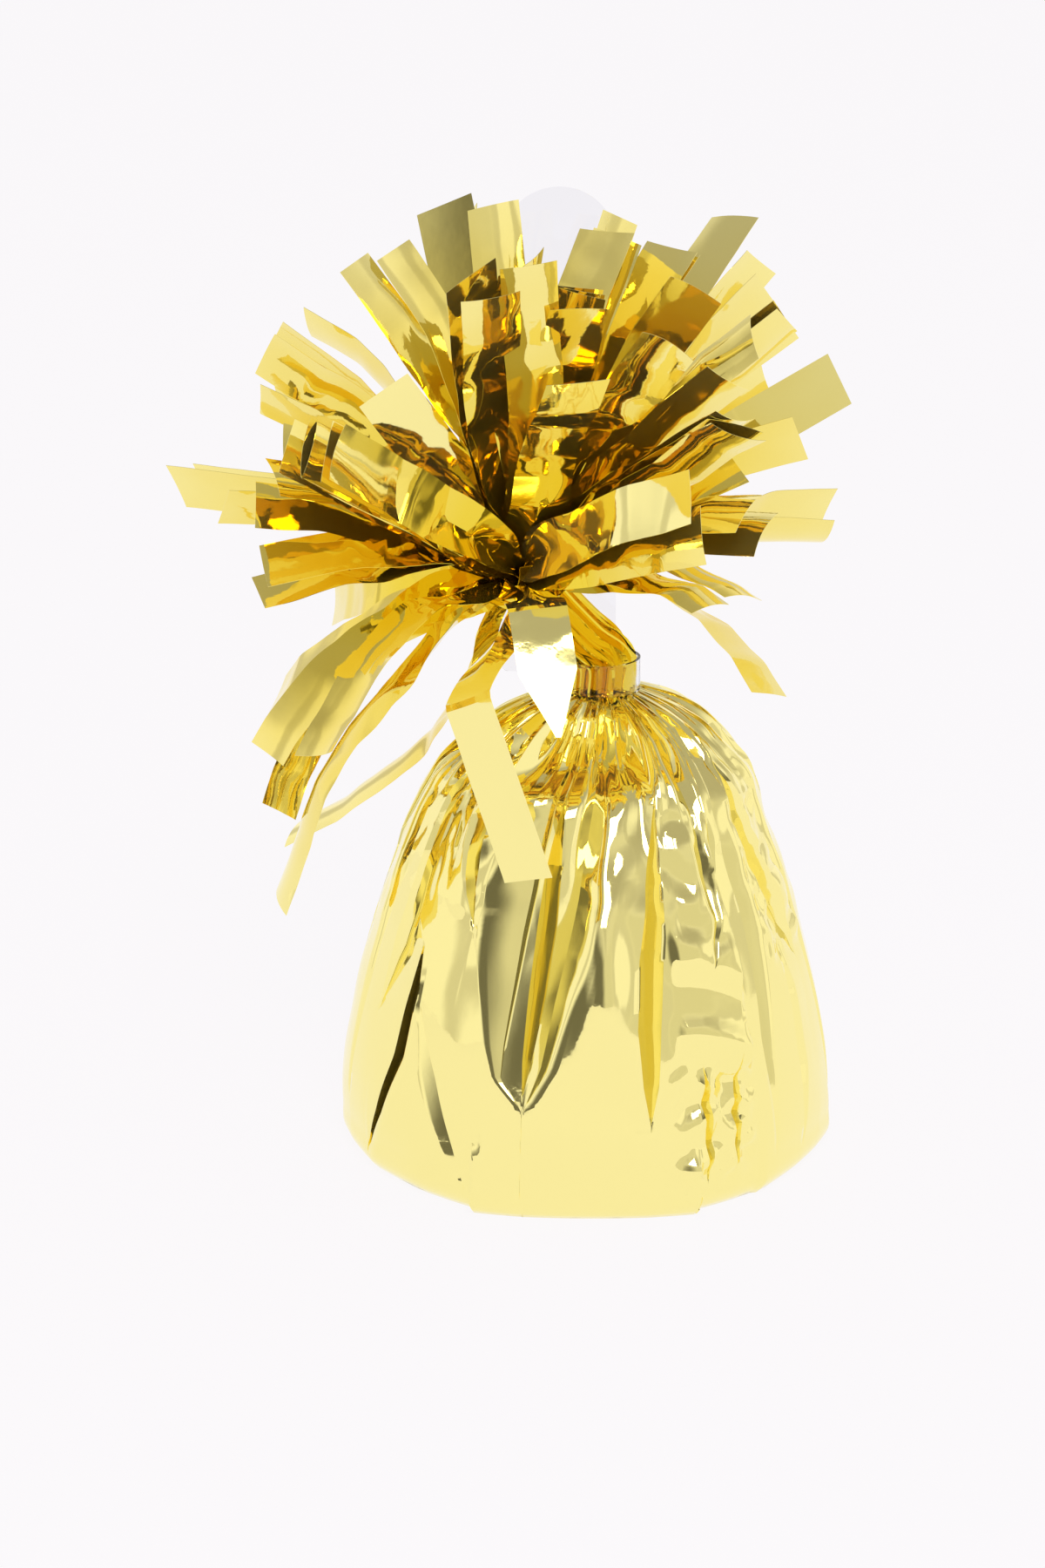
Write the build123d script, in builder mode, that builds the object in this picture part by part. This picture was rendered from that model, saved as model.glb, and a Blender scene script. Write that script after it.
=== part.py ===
"""Foil balloon weight, in millimetres.

A cast ballast plug stands in a wrap of metallised film. The film is pleated up to a neck, where a clear band
holds it, and goes on as a leaning stalk. Its slit end spreads from the head of the stalk as a tuft of strips.
A clear tab for the ribbon stands behind the stalk.

The origin is the middle of the base on the table, +Z is up and the front of the tuft looks towards -Y.
"""
import os
from math import cos, pi, radians, sin

from build123d import *

os.makedirs("parts", exist_ok=True)

# Ballast plug
PLUG_RADIUS = 30.0  # at its widest
PLUG_WIDEST_HEIGHT = 6.0
PLUG_TOP_RADIUS = 17.2
PLUG_TOP_HEIGHT = 47.0
PLUG_FOOT_INSET = 1.0  # how far the foot draws in under the widest place
PLUG_TOP_CHAMFER = 3.0

# Film wrap
FILM_WALL = 0.4  # solid stand-in for a film of a few hundredths
WRAP_CLEARANCE = 0.2  # between the wrap and the plug
FOOT_FULLNESS = 0.5  # how far the film stands off the plug at the foot
SHOULDER_FULLNESS = 2.8
WRAP_BOW = 2.1  # how far the flank stands out of a straight line
SHOULDER_RISE = 12.0  # from the top of the plug up to the neck
SHOULDER_BOW = 3.0
FOOT_STATION = 0.25  # share of the widest height at which the foot's round has a station
FLANK_STATIONS = 3
SHOULDER_STATIONS = 3
HOLLOW_RISE = 8.0  # the hollow under the neck, above the plug
HOLLOW_TOP_RADIUS = 9.5
PLEAT_OPENING = 0.8  # half the width of a pleat's valley for each millimetre of depth
PLEAT_REACH = 3.0  # the cut of a pleat starts this far outside the film
OUTSIDE = -0.2  # depth at the end of a pleat, just outside the film
SHOULDER_PLEAT_DEPTH = 1.4
NECK_PLEAT_DEPTH = 0.8
PAST_NECK = 2.02


def to_neck(azimuth):
    """The upper places of a pleat that runs over the shoulder and just past the neck."""
    return (1.5, azimuth, SHOULDER_PLEAT_DEPTH), (PAST_NECK, azimuth, NECK_PLEAT_DEPTH)


# Each pleat is a valley through a few places of the wrap. A level of 0 is the base, 1 the top of the plug
# and 2 the neck. Azimuth is from the front, positive to the right.
WRAP_PLEATS = [
    # (level, azimuth, depth) low down, at the deepest place and on to the upper end
    ((0.2, -172, OUTSIDE), (1.0, -170, 2.2), *to_neck(-170)),
    ((0.4, -155, OUTSIDE), (1.0, -153, 2.0), *to_neck(-153)),
    ((0.15, -138, OUTSIDE), (1.0, -136, 2.3), *to_neck(-136)),
    ((0.45, -121, OUTSIDE), (1.0, -119, 1.8), *to_neck(-119)),
    ((0.25, -104, OUTSIDE), (1.0, -103, 2.2), *to_neck(-103)),
    ((0.55, -88, OUTSIDE), (1.0, -89, 1.8), *to_neck(-89)),
    ((0.51, -69, OUTSIDE), (1.0, -75, 1.6), *to_neck(-75)),
    ((0.45, -63, OUTSIDE), (0.87, -58, 2.2), *to_neck(-60)),
    ((0.06, -62, OUTSIDE), (0.38, -52, 1.6), (0.68, -50, OUTSIDE)),
    ((0.73, -34, OUTSIDE), (1.0, -41, 2.3), *to_neck(-41)),
    ((0.3, -16, OUTSIDE), (0.6, -21, 1.5), *to_neck(-18)),
    ((0.3, -15, OUTSIDE), (0.8, -4, 2.0), *to_neck(0)),
    ((0.26, 14, OUTSIDE), (0.6, 16.5, 2.5), (1.3, 22.5, OUTSIDE)),
    ((0.68, 30, OUTSIDE), (1.0, 37, 1.2), *to_neck(37)),
    ((0.1, 50, OUTSIDE), (1.0, 48, 1.0), *to_neck(50)),
    ((0.58, 70, OUTSIDE), (0.9, 62, 2.2), (1.25, 59, 1.2), (1.7, 58, OUTSIDE)),
    ((0.2, 83, OUTSIDE), (1.0, 77, 1.5), *to_neck(74)),
    ((0.35, 98, OUTSIDE), (1.0, 94, 2.0), *to_neck(93)),
    ((0.5, 116, OUTSIDE), (1.0, 112, 2.2), *to_neck(112)),
    ((0.2, 134, OUTSIDE), (1.0, 131, 1.8), *to_neck(131)),
    ((0.42, 153, OUTSIDE), (1.0, 151, 2.2), *to_neck(151)),
]

# Neck and stalk
NECK_RADIUS = 5.6
NECK_OFFSET = 1.7  # the neck stands off the middle of the base, towards +X
STALK_PLEATS = 10
STALK_RADIUS = 4.3
STALK_PLEAT_DEPTH = 0.9
HEAD_RADIUS = 6.0
HEAD_PLEAT_DEPTH = 0.3
HEAD_LATITUDES = (-45, -10, 25, 65)  # where the round of the head has its sections
HEAD_RISE = 12.0  # above the band
HEAD_LEAN_LEFT = 9.7
HEAD_LEAN_FORWARD = 7.0

# Clear band round the neck
BAND_HEIGHT = 4.0
BAND_WALL = 0.4
BAND_CLEARANCE = 0.2

# Clear ribbon tab
TAB_WIDTH = 14.4
TAB_LENGTH = 60.5
TAB_THICKNESS = 0.3
TAB_LEAN = 4.0
TAB_OFFSET = 5.3  # to the left of the neck
TAB_FOOT_RISE = 0.6  # above the foot of the band
TAB_CLEARANCE = 0.1
TAB_CORNER = 1.0

# Film strips
STRIP_WIDTH = 7.0
STRIP_ROOT_WIDTH = 1.6
STRIP_ROOT_TAPER = 16.0
STRIP_FILM = 0.2
STRIP_ROOT_GAP = 0.2  # between the head and a strip's root
LEAF_STEP = 3.2  # angle between the leaves of a stack
CREASE_TURN = 12.0  # a curl is shared among creases of about this turn

# Each strip leaves the head along an azimuth (0 is +X, -90 is the front) and an elevation, is so long,
# and curls by an angle about its own width, a little at each crease. Roll turns it about the way it leaves.
# A stack has several leaves.
STRIPS = {
    # name: (azimuth, elevation, length, curl, roll, leaves)
    "top_strip_1": (-145, 72, 38, 25, -70, 2),
    "top_strip_2": (145, 75, 40, 8, -56, 1),
    "top_strip_3": (108, 77, 39, 6, -4, 1),
    "top_strip_4": (-113, 65, 40, 15, 50, 2),
    "top_strip_5": (-81, 54, 40, -20, 14, 1),
    "top_strip_6": (-122, 78, 36, 20, 80, 1),
    "top_strip_7": (46, 75, 39, 10, -10, 1),
    "top_strip_8": (35, 58, 47, 15, 20, 1),
    "top_strip_9": (0, 81, 37, 22, 55, 2),
    "top_strip_10": (24, 70, 38, 20, 20, 2),
    "top_strip_11": (-11, 65, 38, 20, -60, 1),
    "top_leaves": (-63, 71, 34, 8, -20, 4),
    "right_strip_1": (-31, 53, 37, 20, 56, 1),
    "right_strip_2": (24, 44, 39, 15, -70, 2),
    "right_strip_3": (31, 44, 41, 8, -70, 1),
    "right_strip_4": (38, 46, 44, 8, -66, 1),
    "right_strip_5": (46, 26, 38, 12, -85, 1),
    "right_strip_6": (40, 20, 44, 25, -112, 1),
    "right_strip_7": (-50, 55, 38, 15, -30, 1),
    "right_strip_8": (28, 24, 34, 20, -60, 1),
    "right_strip_9": (-55, 28, 36, 25, 40, 2),
    "right_strip_10": (33, 7, 37, 20, -50, 1),
    "right_strip_11": (43, 6, 43, 20, -60, 1),
    "right_strip_12": (-12, 31, 24, 12, 62, 1),
    "right_leaves": (-42, 41, 36, 10, -25, 4),
    "low_right_strip_1": (-33, 22, 26, 45, 0, 1),
    "low_right_strip_2": (-50, 16, 27, 35, 10, 1),
    "low_right_strip_3": (26, -4, 36, 54, 0, 1),
    "front_strip_1": (-76, 28, 35, 28, 85, 1),
    "front_strip_2": (-70, 21, 34, 22, 84, 1),
    "front_strip_3": (-80, 46, 41, 10, 0, 1),
    "low_left_strip_1": (-150, -6, 34, 55, -10, 1),
    "low_left_strip_2": (-134, 4, 34, 55, 0, 1),
    "low_left_strip_3": (146, -20, 43, 70, 30, 1),
    "low_left_strip_4": (-172, -36, 46, 34, 0, 1),
    "low_left_strip_5": (129, -60, 48, -34, -45, 1),
    "low_left_strip_6": (168, -13, 35, 45, -35, 1),
    "low_left_strip_7": (-145, 20, 30, 30, -25, 2),
    "low_left_strip_8": (145, -10, 38, 40, -70, 1),
    "low_left_strip_9": (126, 5, 40, 15, 30, 1),
    "left_strip_1": (168, 48, 36, 20, 65, 2),
    "left_strip_2": (140, 30, 36, 20, 70, 2),
    "left_strip_3": (-170, 55, 24, 5, 85, 1),
    "left_strip_4": (152, 17, 41, 20, 50, 1),
    "left_strip_5": (170, 26, 32, 30, 50, 1),
    "left_strip_6": (-142, 40, 31, 30, -50, 1),
    "left_strip_7": (-152, 33, 30, 25, -30, 2),
    "left_strip_8": (141, 12, 42, 20, 60, 1),
    "left_strip_9": (131, 45, 38, 30, 60, 1),
    "left_leaves": (-126, 32, 35, 15, -90, 5),
    "back_leaves_1": (113, 30, 46, 50, -90, 3),
    "back_leaves_2": (113, -6, 46, 55, -90, 3),
    "back_leaves_3": (119, 58, 42, 20, -80, 2),
}

# Two strips are creased right across and hang from the crease.
CREASED_STRIPS = {
    # name: (azimuth, elevation, length to the crease, length below it, turn at the crease, roll)
    "front_hanging_strip": (-110, -28, 16, 22, 57, 28),
    "front_twisted_strip": (-84, 2, 10, 16, 56, 6),
}

neck = Vector(NECK_OFFSET, 0, PLUG_TOP_HEIGHT + SHOULDER_RISE)
band_top = neck + Vector(0, 0, BAND_HEIGHT)
head = band_top + Vector(-HEAD_LEAN_LEFT, -HEAD_LEAN_FORWARD, HEAD_RISE)


def blend(start, end, share):
    return start + (end - start) * share


def plug_radius(height):
    """Radius of the plug's flank at a height: drawn in at the foot, then straight up to the top."""
    if height < PLUG_WIDEST_HEIGHT:
        return PLUG_RADIUS - PLUG_FOOT_INSET * (1 - height / PLUG_WIDEST_HEIGHT) ** 2
    share = (height - PLUG_WIDEST_HEIGHT) / (PLUG_TOP_HEIGHT - PLUG_WIDEST_HEIGHT)
    return blend(PLUG_RADIUS, PLUG_TOP_RADIUS, share)


def bow(share):
    """Rise of a shallow bow: 0 at both ends, 1 in the middle."""
    return 4 * share * (1 - share)


def wrap_section(height):
    """Radius and sideways offset of the wrap at a height, before it is pleated."""
    room = WRAP_CLEARANCE + FILM_WALL
    if height <= PLUG_TOP_HEIGHT:
        fullness = blend(FOOT_FULLNESS, SHOULDER_FULLNESS, height / PLUG_TOP_HEIGHT)
        share = max(0, height - PLUG_WIDEST_HEIGHT) / (PLUG_TOP_HEIGHT - PLUG_WIDEST_HEIGHT)
        return plug_radius(height) + room + fullness + WRAP_BOW * bow(share), 0
    share = (height - PLUG_TOP_HEIGHT) / SHOULDER_RISE
    shoulder = PLUG_TOP_RADIUS + room + SHOULDER_FULLNESS
    return blend(shoulder, NECK_RADIUS, share) + SHOULDER_BOW * bow(share), NECK_OFFSET * share


def pleated_outline(radius, depth, pleats):
    """Star outline with a ridge between every two valleys."""
    points = []
    for step in range(2 * pleats):
        angle = pi * step / pleats
        reach = radius if step % 2 else radius - depth
        points.append((reach * cos(angle), reach * sin(angle)))
    return points


def stations(low, high, count):
    """Evenly spaced heights above the low one, up to the high one."""
    return [blend(low, high, (step + 1) / count) for step in range(count)]


foot_heights = [0, FOOT_STATION * PLUG_WIDEST_HEIGHT, PLUG_WIDEST_HEIGHT]
flank_heights = stations(PLUG_WIDEST_HEIGHT, PLUG_TOP_HEIGHT, FLANK_STATIONS)
shoulder_heights = stations(PLUG_TOP_HEIGHT, neck.Z, SHOULDER_STATIONS)

# Ballast plug: turned profile with an eased top
with BuildPart() as ballast_plug:
    foot = FILM_WALL + WRAP_CLEARANCE
    with BuildSketch(Plane.XZ):
        with BuildLine():
            flank = [(plug_radius(height), max(height, foot)) for height in foot_heights]
            Polyline((0, foot), *flank, (PLUG_TOP_RADIUS, PLUG_TOP_HEIGHT), (0, PLUG_TOP_HEIGHT), close=True)
        make_face()
    revolve(axis=Axis.Z)
    chamfer(ballast_plug.edges().group_by(Axis.Z)[-1], PLUG_TOP_CHAMFER)
ballast_plug.part.label = "ballast_plug"
export_step(ballast_plug.part, "parts/ballast_plug.step")

# Film wrap: a bell drawn in to the neck, cut by its pleats, hollow round the plug and under the neck
with BuildPart() as foil_wrap:
    for height in foot_heights + flank_heights + shoulder_heights:
        radius, offset_x = wrap_section(height)
        with BuildSketch(Plane((offset_x, 0, height))):
            Circle(radius)
    loft(ruled=True)
    for pleat in WRAP_PLEATS:
        for level, azimuth, depth in pleat:
            height = level * PLUG_TOP_HEIGHT
            if level > 1:
                height = PLUG_TOP_HEIGHT + (level - 1) * SHOULDER_RISE
            radius, offset_x = wrap_section(height)
            half_opening = (depth + PLEAT_REACH) * PLEAT_OPENING
            outside = radius + PLEAT_REACH
            with BuildSketch(Plane((offset_x, 0, height)).rotated((0, 0, azimuth - 90))):
                Polygon((radius - depth, 0), (outside, -half_opening), (outside, half_opening))
        loft(ruled=True, mode=Mode.SUBTRACT)
    with BuildSketch(Plane.XZ):
        with BuildLine():
            room = WRAP_CLEARANCE
            flank = [(plug_radius(height) + room, max(height, FILM_WALL)) for height in foot_heights]
            shoulder = (PLUG_TOP_RADIUS + room, PLUG_TOP_HEIGHT)
            top = PLUG_TOP_HEIGHT + HOLLOW_RISE
            Polyline((0, FILM_WALL), *flank, shoulder, (HOLLOW_TOP_RADIUS, top), (0, top), close=True)
        make_face()
    revolve(axis=Axis.Z, mode=Mode.SUBTRACT)
foil_wrap.part.label = "foil_wrap"
export_step(foil_wrap.part, "parts/foil_wrap.step")

# Gathered stalk: upright inside the band, then leaning to a round head
lean = (head - band_top).normalized()
with BuildPart() as gathered_stalk:
    leaning = Plane(head, x_dir=Vector(1, 0, 0) - lean * lean.X, z_dir=lean)
    for section in (Plane(neck), Plane(band_top)):
        with BuildSketch(section):
            Polygon(*pleated_outline(STALK_RADIUS, STALK_PLEAT_DEPTH, STALK_PLEATS))
    for latitude in HEAD_LATITUDES:
        girth = HEAD_RADIUS * cos(radians(latitude))
        with BuildSketch(leaning.offset(HEAD_RADIUS * sin(radians(latitude)))):
            Polygon(*pleated_outline(girth, HEAD_PLEAT_DEPTH, STALK_PLEATS))
    loft(ruled=True)
gathered_stalk.part.label = "gathered_stalk"
export_step(gathered_stalk.part, "parts/gathered_stalk.step")

# Clear band: a ring round the upright foot of the stalk, standing on the neck of the wrap
band_bore = STALK_RADIUS + BAND_CLEARANCE
band_radius = band_bore + BAND_WALL
with BuildPart() as neck_band:
    with BuildSketch(Plane(neck)):
        Circle(band_radius)
        Circle(band_bore, mode=Mode.SUBTRACT)
    extrude(amount=BAND_HEIGHT)
neck_band.part.label = "neck_band"
export_step(neck_band.part, "parts/neck_band.step")

# Clear ribbon tab: a strip with a round end, leaning back from the rear of the band
tab_foot = neck + Vector(-TAB_OFFSET, band_radius + TAB_CLEARANCE, TAB_FOOT_RISE)
tab_rear = Vector(0, cos(radians(TAB_LEAN)), -sin(radians(TAB_LEAN)))
with BuildPart() as ribbon_tab:
    with BuildSketch(Plane(tab_foot, x_dir=(-1, 0, 0), z_dir=tab_rear)) as tab_face:
        Rectangle(TAB_WIDTH, TAB_LENGTH - TAB_WIDTH / 2, align=(Align.CENTER, Align.MIN))
        fillet(tab_face.vertices().group_by(Axis.Y)[0], TAB_CORNER)
        with Locations((0, TAB_LENGTH - TAB_WIDTH / 2)):
            Circle(TAB_WIDTH / 2)
    extrude(amount=TAB_THICKNESS)
ribbon_tab.part.label = "ribbon_tab"
export_step(ribbon_tab.part, "parts/ribbon_tab.step")


def leaving(azimuth, elevation, roll, lift=0):
    """The way a strip leaves the head, its width direction and the side that it curls to."""
    level = Vector(-sin(radians(azimuth)), cos(radians(azimuth)), 0)
    outward = Vector(cos(radians(azimuth)), sin(radians(azimuth)), 0)
    along = outward * cos(radians(elevation)) + Vector(0, 0, sin(radians(elevation)))
    across = level * cos(radians(roll)) + along.cross(level) * sin(radians(roll))
    curl_side = across.cross(along)
    return along * cos(radians(lift)) - curl_side * sin(radians(lift)), across


def curl_creases(length, curl):
    """Places along a strip where it is creased, and the turn at each."""
    count = max(1, round(abs(curl) / CREASE_TURN))
    return [((step + 0.5) / count * length, curl / count) for step in range(count)]


def strip_solid(along, across, length, creases):
    """One strip: flat lengths between creases seen edge-on, narrowed at the root."""
    root = head + along * (HEAD_RADIUS + STRIP_ROOT_GAP)
    upper, lower = [], []
    x, y, heading, travelled = 0, 0, 0, 0
    for place, turn in [(0, 0), *creases, (length, 0)]:
        x += (place - travelled) * cos(heading)
        y += (place - travelled) * sin(heading)
        mitre = radians(turn) / 2
        half = STRIP_FILM / 2 / cos(mitre)
        upper.append((x - half * sin(heading + mitre), y + half * cos(heading + mitre)))
        lower.append((x + half * sin(heading + mitre), y - half * cos(heading + mitre)))
        heading += radians(turn)
        travelled = place
    with BuildPart() as strip:
        with BuildSketch(Plane(root, x_dir=along, z_dir=across)):
            Polygon(*upper, *reversed(lower))
        extrude(amount=STRIP_WIDTH / 2, both=True)
        reach = length + STRIP_WIDTH
        with BuildSketch(Plane(root, x_dir=along, z_dir=along.cross(across))):
            narrow = STRIP_ROOT_WIDTH / 2
            wide = STRIP_WIDTH / 2
            half_outline = [(-STRIP_ROOT_GAP, narrow), (STRIP_ROOT_TAPER, wide), (reach, wide)]
            Polygon(*half_outline, *[(x, -y) for x, y in reversed(half_outline)])
        extrude(amount=reach, both=True, mode=Mode.INTERSECT)
    return strip.part


# Film strips of the tuft, single or in stacks
for name, (azimuth, elevation, length, curl, roll, leaves) in STRIPS.items():
    solids = []
    for leaf in range(leaves):
        lift = LEAF_STEP * (leaf - (leaves - 1) / 2)
        along, across = leaving(azimuth, elevation, roll, lift)
        solids.append(strip_solid(along, across, length, curl_creases(length, curl)))
    with BuildPart() as film_strip:
        add(solids)
    film_strip.part.label = name
    export_step(film_strip.part, f"parts/{name}.step")

# Creased strips
for name, (azimuth, elevation, lead, tail, turn, roll) in CREASED_STRIPS.items():
    along, across = leaving(azimuth, elevation, roll)
    creased = strip_solid(along, across, lead + tail, [(lead, turn)])
    with BuildPart() as creased_strip:
        add(creased)
    creased_strip.part.label = name
    export_step(creased_strip.part, f"parts/{name}.step")
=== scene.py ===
"""Looks of the foil balloon weight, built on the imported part. Sizes are in millimetres, meshes in metres."""
import math
import random

import bpy
import numpy as np
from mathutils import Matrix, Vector


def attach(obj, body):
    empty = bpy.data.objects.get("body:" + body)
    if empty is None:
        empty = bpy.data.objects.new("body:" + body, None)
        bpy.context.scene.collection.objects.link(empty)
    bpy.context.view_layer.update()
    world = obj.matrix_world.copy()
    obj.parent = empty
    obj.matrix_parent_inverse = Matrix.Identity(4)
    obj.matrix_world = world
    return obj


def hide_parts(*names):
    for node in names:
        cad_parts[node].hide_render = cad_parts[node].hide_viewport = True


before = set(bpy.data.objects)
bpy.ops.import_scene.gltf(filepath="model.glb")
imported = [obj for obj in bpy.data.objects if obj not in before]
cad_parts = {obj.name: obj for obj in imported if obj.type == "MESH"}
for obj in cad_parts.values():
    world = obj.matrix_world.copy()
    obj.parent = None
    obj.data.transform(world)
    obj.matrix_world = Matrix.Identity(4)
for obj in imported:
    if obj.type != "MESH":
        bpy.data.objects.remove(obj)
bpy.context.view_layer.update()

MM = 0.001
SEED = 11

# Camera of the photograph
CAMERA_EYE = (-8.1, -443.6, 188.7)
CAMERA_PITCH = 17.8
CAMERA_LENS = 85.0
CAMERA_SENSOR = 36.0  # along the long side of the picture

# Neck, head and strips, as on the part
NECK = Vector((1.7, 0, 59))
BAND_HEIGHT = 4.0
HEAD = Vector((-8, -7, 75))
HEAD_RADIUS = 6.0
STRIP_WIDTH = 7.0
STRIP_ROOT_GAP = 0.2
LEAF_STEP = 3.2
CREASE_TURN = 12.0
FILM = 0.05

STRIPS = {
    # name: (azimuth, elevation, length, curl, roll, leaves)
    "top_strip_1": (-145, 72, 38, 25, -70, 2),
    "top_strip_2": (145, 75, 40, 8, -56, 1),
    "top_strip_3": (108, 77, 39, 6, -4, 1),
    "top_strip_4": (-113, 65, 40, 15, 50, 2),
    "top_strip_5": (-81, 54, 40, -20, 14, 1),
    "top_strip_6": (-122, 78, 36, 20, 80, 1),
    "top_strip_7": (46, 75, 39, 10, -10, 1),
    "top_strip_8": (35, 58, 47, 15, 20, 1),
    "top_strip_9": (0, 81, 37, 22, 55, 2),
    "top_strip_10": (24, 70, 38, 20, 20, 2),
    "top_strip_11": (-11, 65, 38, 20, -60, 1),
    "top_leaves": (-63, 71, 34, 8, -20, 4),
    "right_strip_1": (-31, 53, 37, 20, 56, 1),
    "right_strip_2": (24, 44, 39, 15, -70, 2),
    "right_strip_3": (31, 44, 41, 8, -70, 1),
    "right_strip_4": (38, 46, 44, 8, -66, 1),
    "right_strip_5": (46, 26, 38, 12, -85, 1),
    "right_strip_6": (40, 20, 44, 25, -112, 1),
    "right_strip_7": (-50, 55, 38, 15, -30, 1),
    "right_strip_8": (28, 24, 34, 20, -60, 1),
    "right_strip_9": (-55, 28, 36, 25, 40, 2),
    "right_strip_10": (33, 7, 37, 20, -50, 1),
    "right_strip_11": (43, 6, 43, 20, -60, 1),
    "right_strip_12": (-12, 31, 24, 12, 62, 1),
    "right_leaves": (-42, 41, 36, 10, -25, 4),
    "low_right_strip_1": (-33, 22, 26, 45, 0, 1),
    "low_right_strip_2": (-50, 16, 27, 35, 10, 1),
    "low_right_strip_3": (26, -4, 36, 54, 0, 1),
    "front_strip_1": (-76, 28, 35, 28, 85, 1),
    "front_strip_2": (-70, 21, 34, 22, 84, 1),
    "front_strip_3": (-80, 46, 41, 10, 0, 1),
    "low_left_strip_1": (-150, -6, 34, 55, -10, 1),
    "low_left_strip_2": (-134, 4, 34, 55, 0, 1),
    "low_left_strip_3": (146, -20, 43, 70, 30, 1),
    "low_left_strip_4": (-172, -36, 46, 34, 0, 1),
    "low_left_strip_5": (129, -60, 48, -34, -45, 1),
    "low_left_strip_6": (168, -13, 35, 45, -35, 1),
    "low_left_strip_7": (-145, 20, 30, 30, -25, 2),
    "low_left_strip_8": (145, -10, 38, 40, -70, 1),
    "low_left_strip_9": (126, 5, 40, 15, 30, 1),
    "left_strip_1": (168, 48, 36, 20, 65, 2),
    "left_strip_2": (140, 30, 36, 20, 70, 2),
    "left_strip_3": (-170, 55, 24, 5, 85, 1),
    "left_strip_4": (152, 17, 41, 20, 50, 1),
    "left_strip_5": (170, 26, 32, 30, 50, 1),
    "left_strip_6": (-142, 40, 31, 30, -50, 1),
    "left_strip_7": (-152, 33, 30, 25, -30, 2),
    "left_strip_8": (141, 12, 42, 20, 60, 1),
    "left_strip_9": (131, 45, 38, 30, 60, 1),
    "left_leaves": (-126, 32, 35, 15, -90, 5),
    "back_leaves_1": (113, 30, 46, 50, -90, 3),
    "back_leaves_2": (113, -6, 46, 55, -90, 3),
    "back_leaves_3": (119, 58, 42, 20, -80, 2),
}
CREASED_STRIPS = {
    # name: (azimuth, elevation, length to the crease, length below it, turn at the crease, roll)
    "front_hanging_strip": (-110, -28, 16, 22, 57, 28),
    "front_twisted_strip": (-84, 2, 10, 16, 56, 6),
}


# Helpers

def blend(start, end, share):
    return start + (end - start) * share


def ramp(value, low, high):
    """Smooth step from 0 at low to 1 at high, for numbers and arrays."""
    share = np.clip((np.asarray(value, float) - low) / (high - low), 0, 1)
    return share * share * (3 - 2 * share)


def through(points, values):
    """Smooth curve through listed points, read at the given values."""
    x = np.array([p[0] for p in points], float)
    y = np.array([p[1] for p in points], float)
    slope = np.gradient(y, x)
    values = np.clip(values, x[0], x[-1])
    i = np.clip(np.searchsorted(x, values) - 1, 0, len(x) - 2)
    h = x[i + 1] - x[i]
    t = (values - x[i]) / h
    return ((1 + 2 * t) * (1 - t) ** 2 * y[i] + t * (1 - t) ** 2 * h * slope[i]
            + t * t * (3 - 2 * t) * y[i + 1] + t * t * (t - 1) * h * slope[i + 1])


def mesh_object(name, points, faces, material):
    """A mesh object at the origin from points in millimetres."""
    mesh = bpy.data.meshes.new(name)
    mesh.from_pydata([(x * MM, y * MM, z * MM) for x, y, z in points], [], faces)
    mesh.materials.append(material)
    mesh.shade_smooth()
    obj = bpy.data.objects.new(name, mesh)
    bpy.context.scene.collection.objects.link(obj)
    return obj


def apply_modifiers(obj):
    """Turn the evaluated object into its plain mesh and remove its modifiers."""
    graph = bpy.context.evaluated_depsgraph_get()
    mesh = bpy.data.meshes.new_from_object(obj.evaluated_get(graph))
    obj.modifiers.clear()
    obj.data = mesh


def add_wall(film, offset):
    """Give a film its thickness, inwards with offset -1 or to both sides with 0."""
    wall = film.modifiers.new("wall", "SOLIDIFY")
    wall.thickness = FILM * MM
    wall.offset = offset
    apply_modifiers(film)


def dress(film, node, sharp):
    """Crease a film where it bends by more than sharp, and let it stand for its node of the part."""
    film.data.shade_smooth()
    film.data.set_sharp_from_angle(angle=math.radians(sharp))
    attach(film, "root")
    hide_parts(node)


def tube_faces(columns, rows):
    """Faces of a tube made of rows of points, turned outwards."""
    faces = []
    for j in range(rows - 1):
        for i in range(columns):
            k = (i + 1) % columns
            faces.append((j * columns + i, j * columns + k, (j + 1) * columns + k, (j + 1) * columns + i))
    return faces


# Node helpers

def maths_in(tree):
    """A function that adds a math node to the tree and gives its output. Values are numbers or sockets."""
    def maths(operation, *values):
        node = tree.nodes.new("ShaderNodeMath")
        node.operation = operation
        for socket, value in zip(node.inputs, values):
            if isinstance(value, (int, float)):
                socket.default_value = value
            else:
                tree.links.new(value, socket)
        return node.outputs[0]
    return maths


def smooth_range(tree, value, low, high):
    """0 below low, 1 above high and a smooth step between them."""
    node = tree.nodes.new("ShaderNodeMapRange")
    node.interpolation_type = "SMOOTHSTEP"
    node.inputs["From Min"].default_value = low
    node.inputs["From Max"].default_value = high
    tree.links.new(value, node.inputs["Value"])
    return node.outputs["Result"]


def colour_mix(tree, share, first, second):
    """A colour between the first and the second. Each of them is a tuple or a socket."""
    node = tree.nodes.new("ShaderNodeMix")
    node.data_type = "RGBA"
    tree.links.new(share, node.inputs["Factor"])
    for name, colour in (("A", first), ("B", second)):
        if isinstance(colour, tuple):
            node.inputs[name].default_value = (*colour, 1)
        else:
            tree.links.new(colour, node.inputs[name])
    return node.outputs["Result"]


# Materials

def new_material(name):
    material = bpy.data.materials.new(name)
    material.use_nodes = True
    nodes = material.node_tree.nodes
    return material, nodes, material.node_tree.links, nodes["Principled BSDF"]


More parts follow.
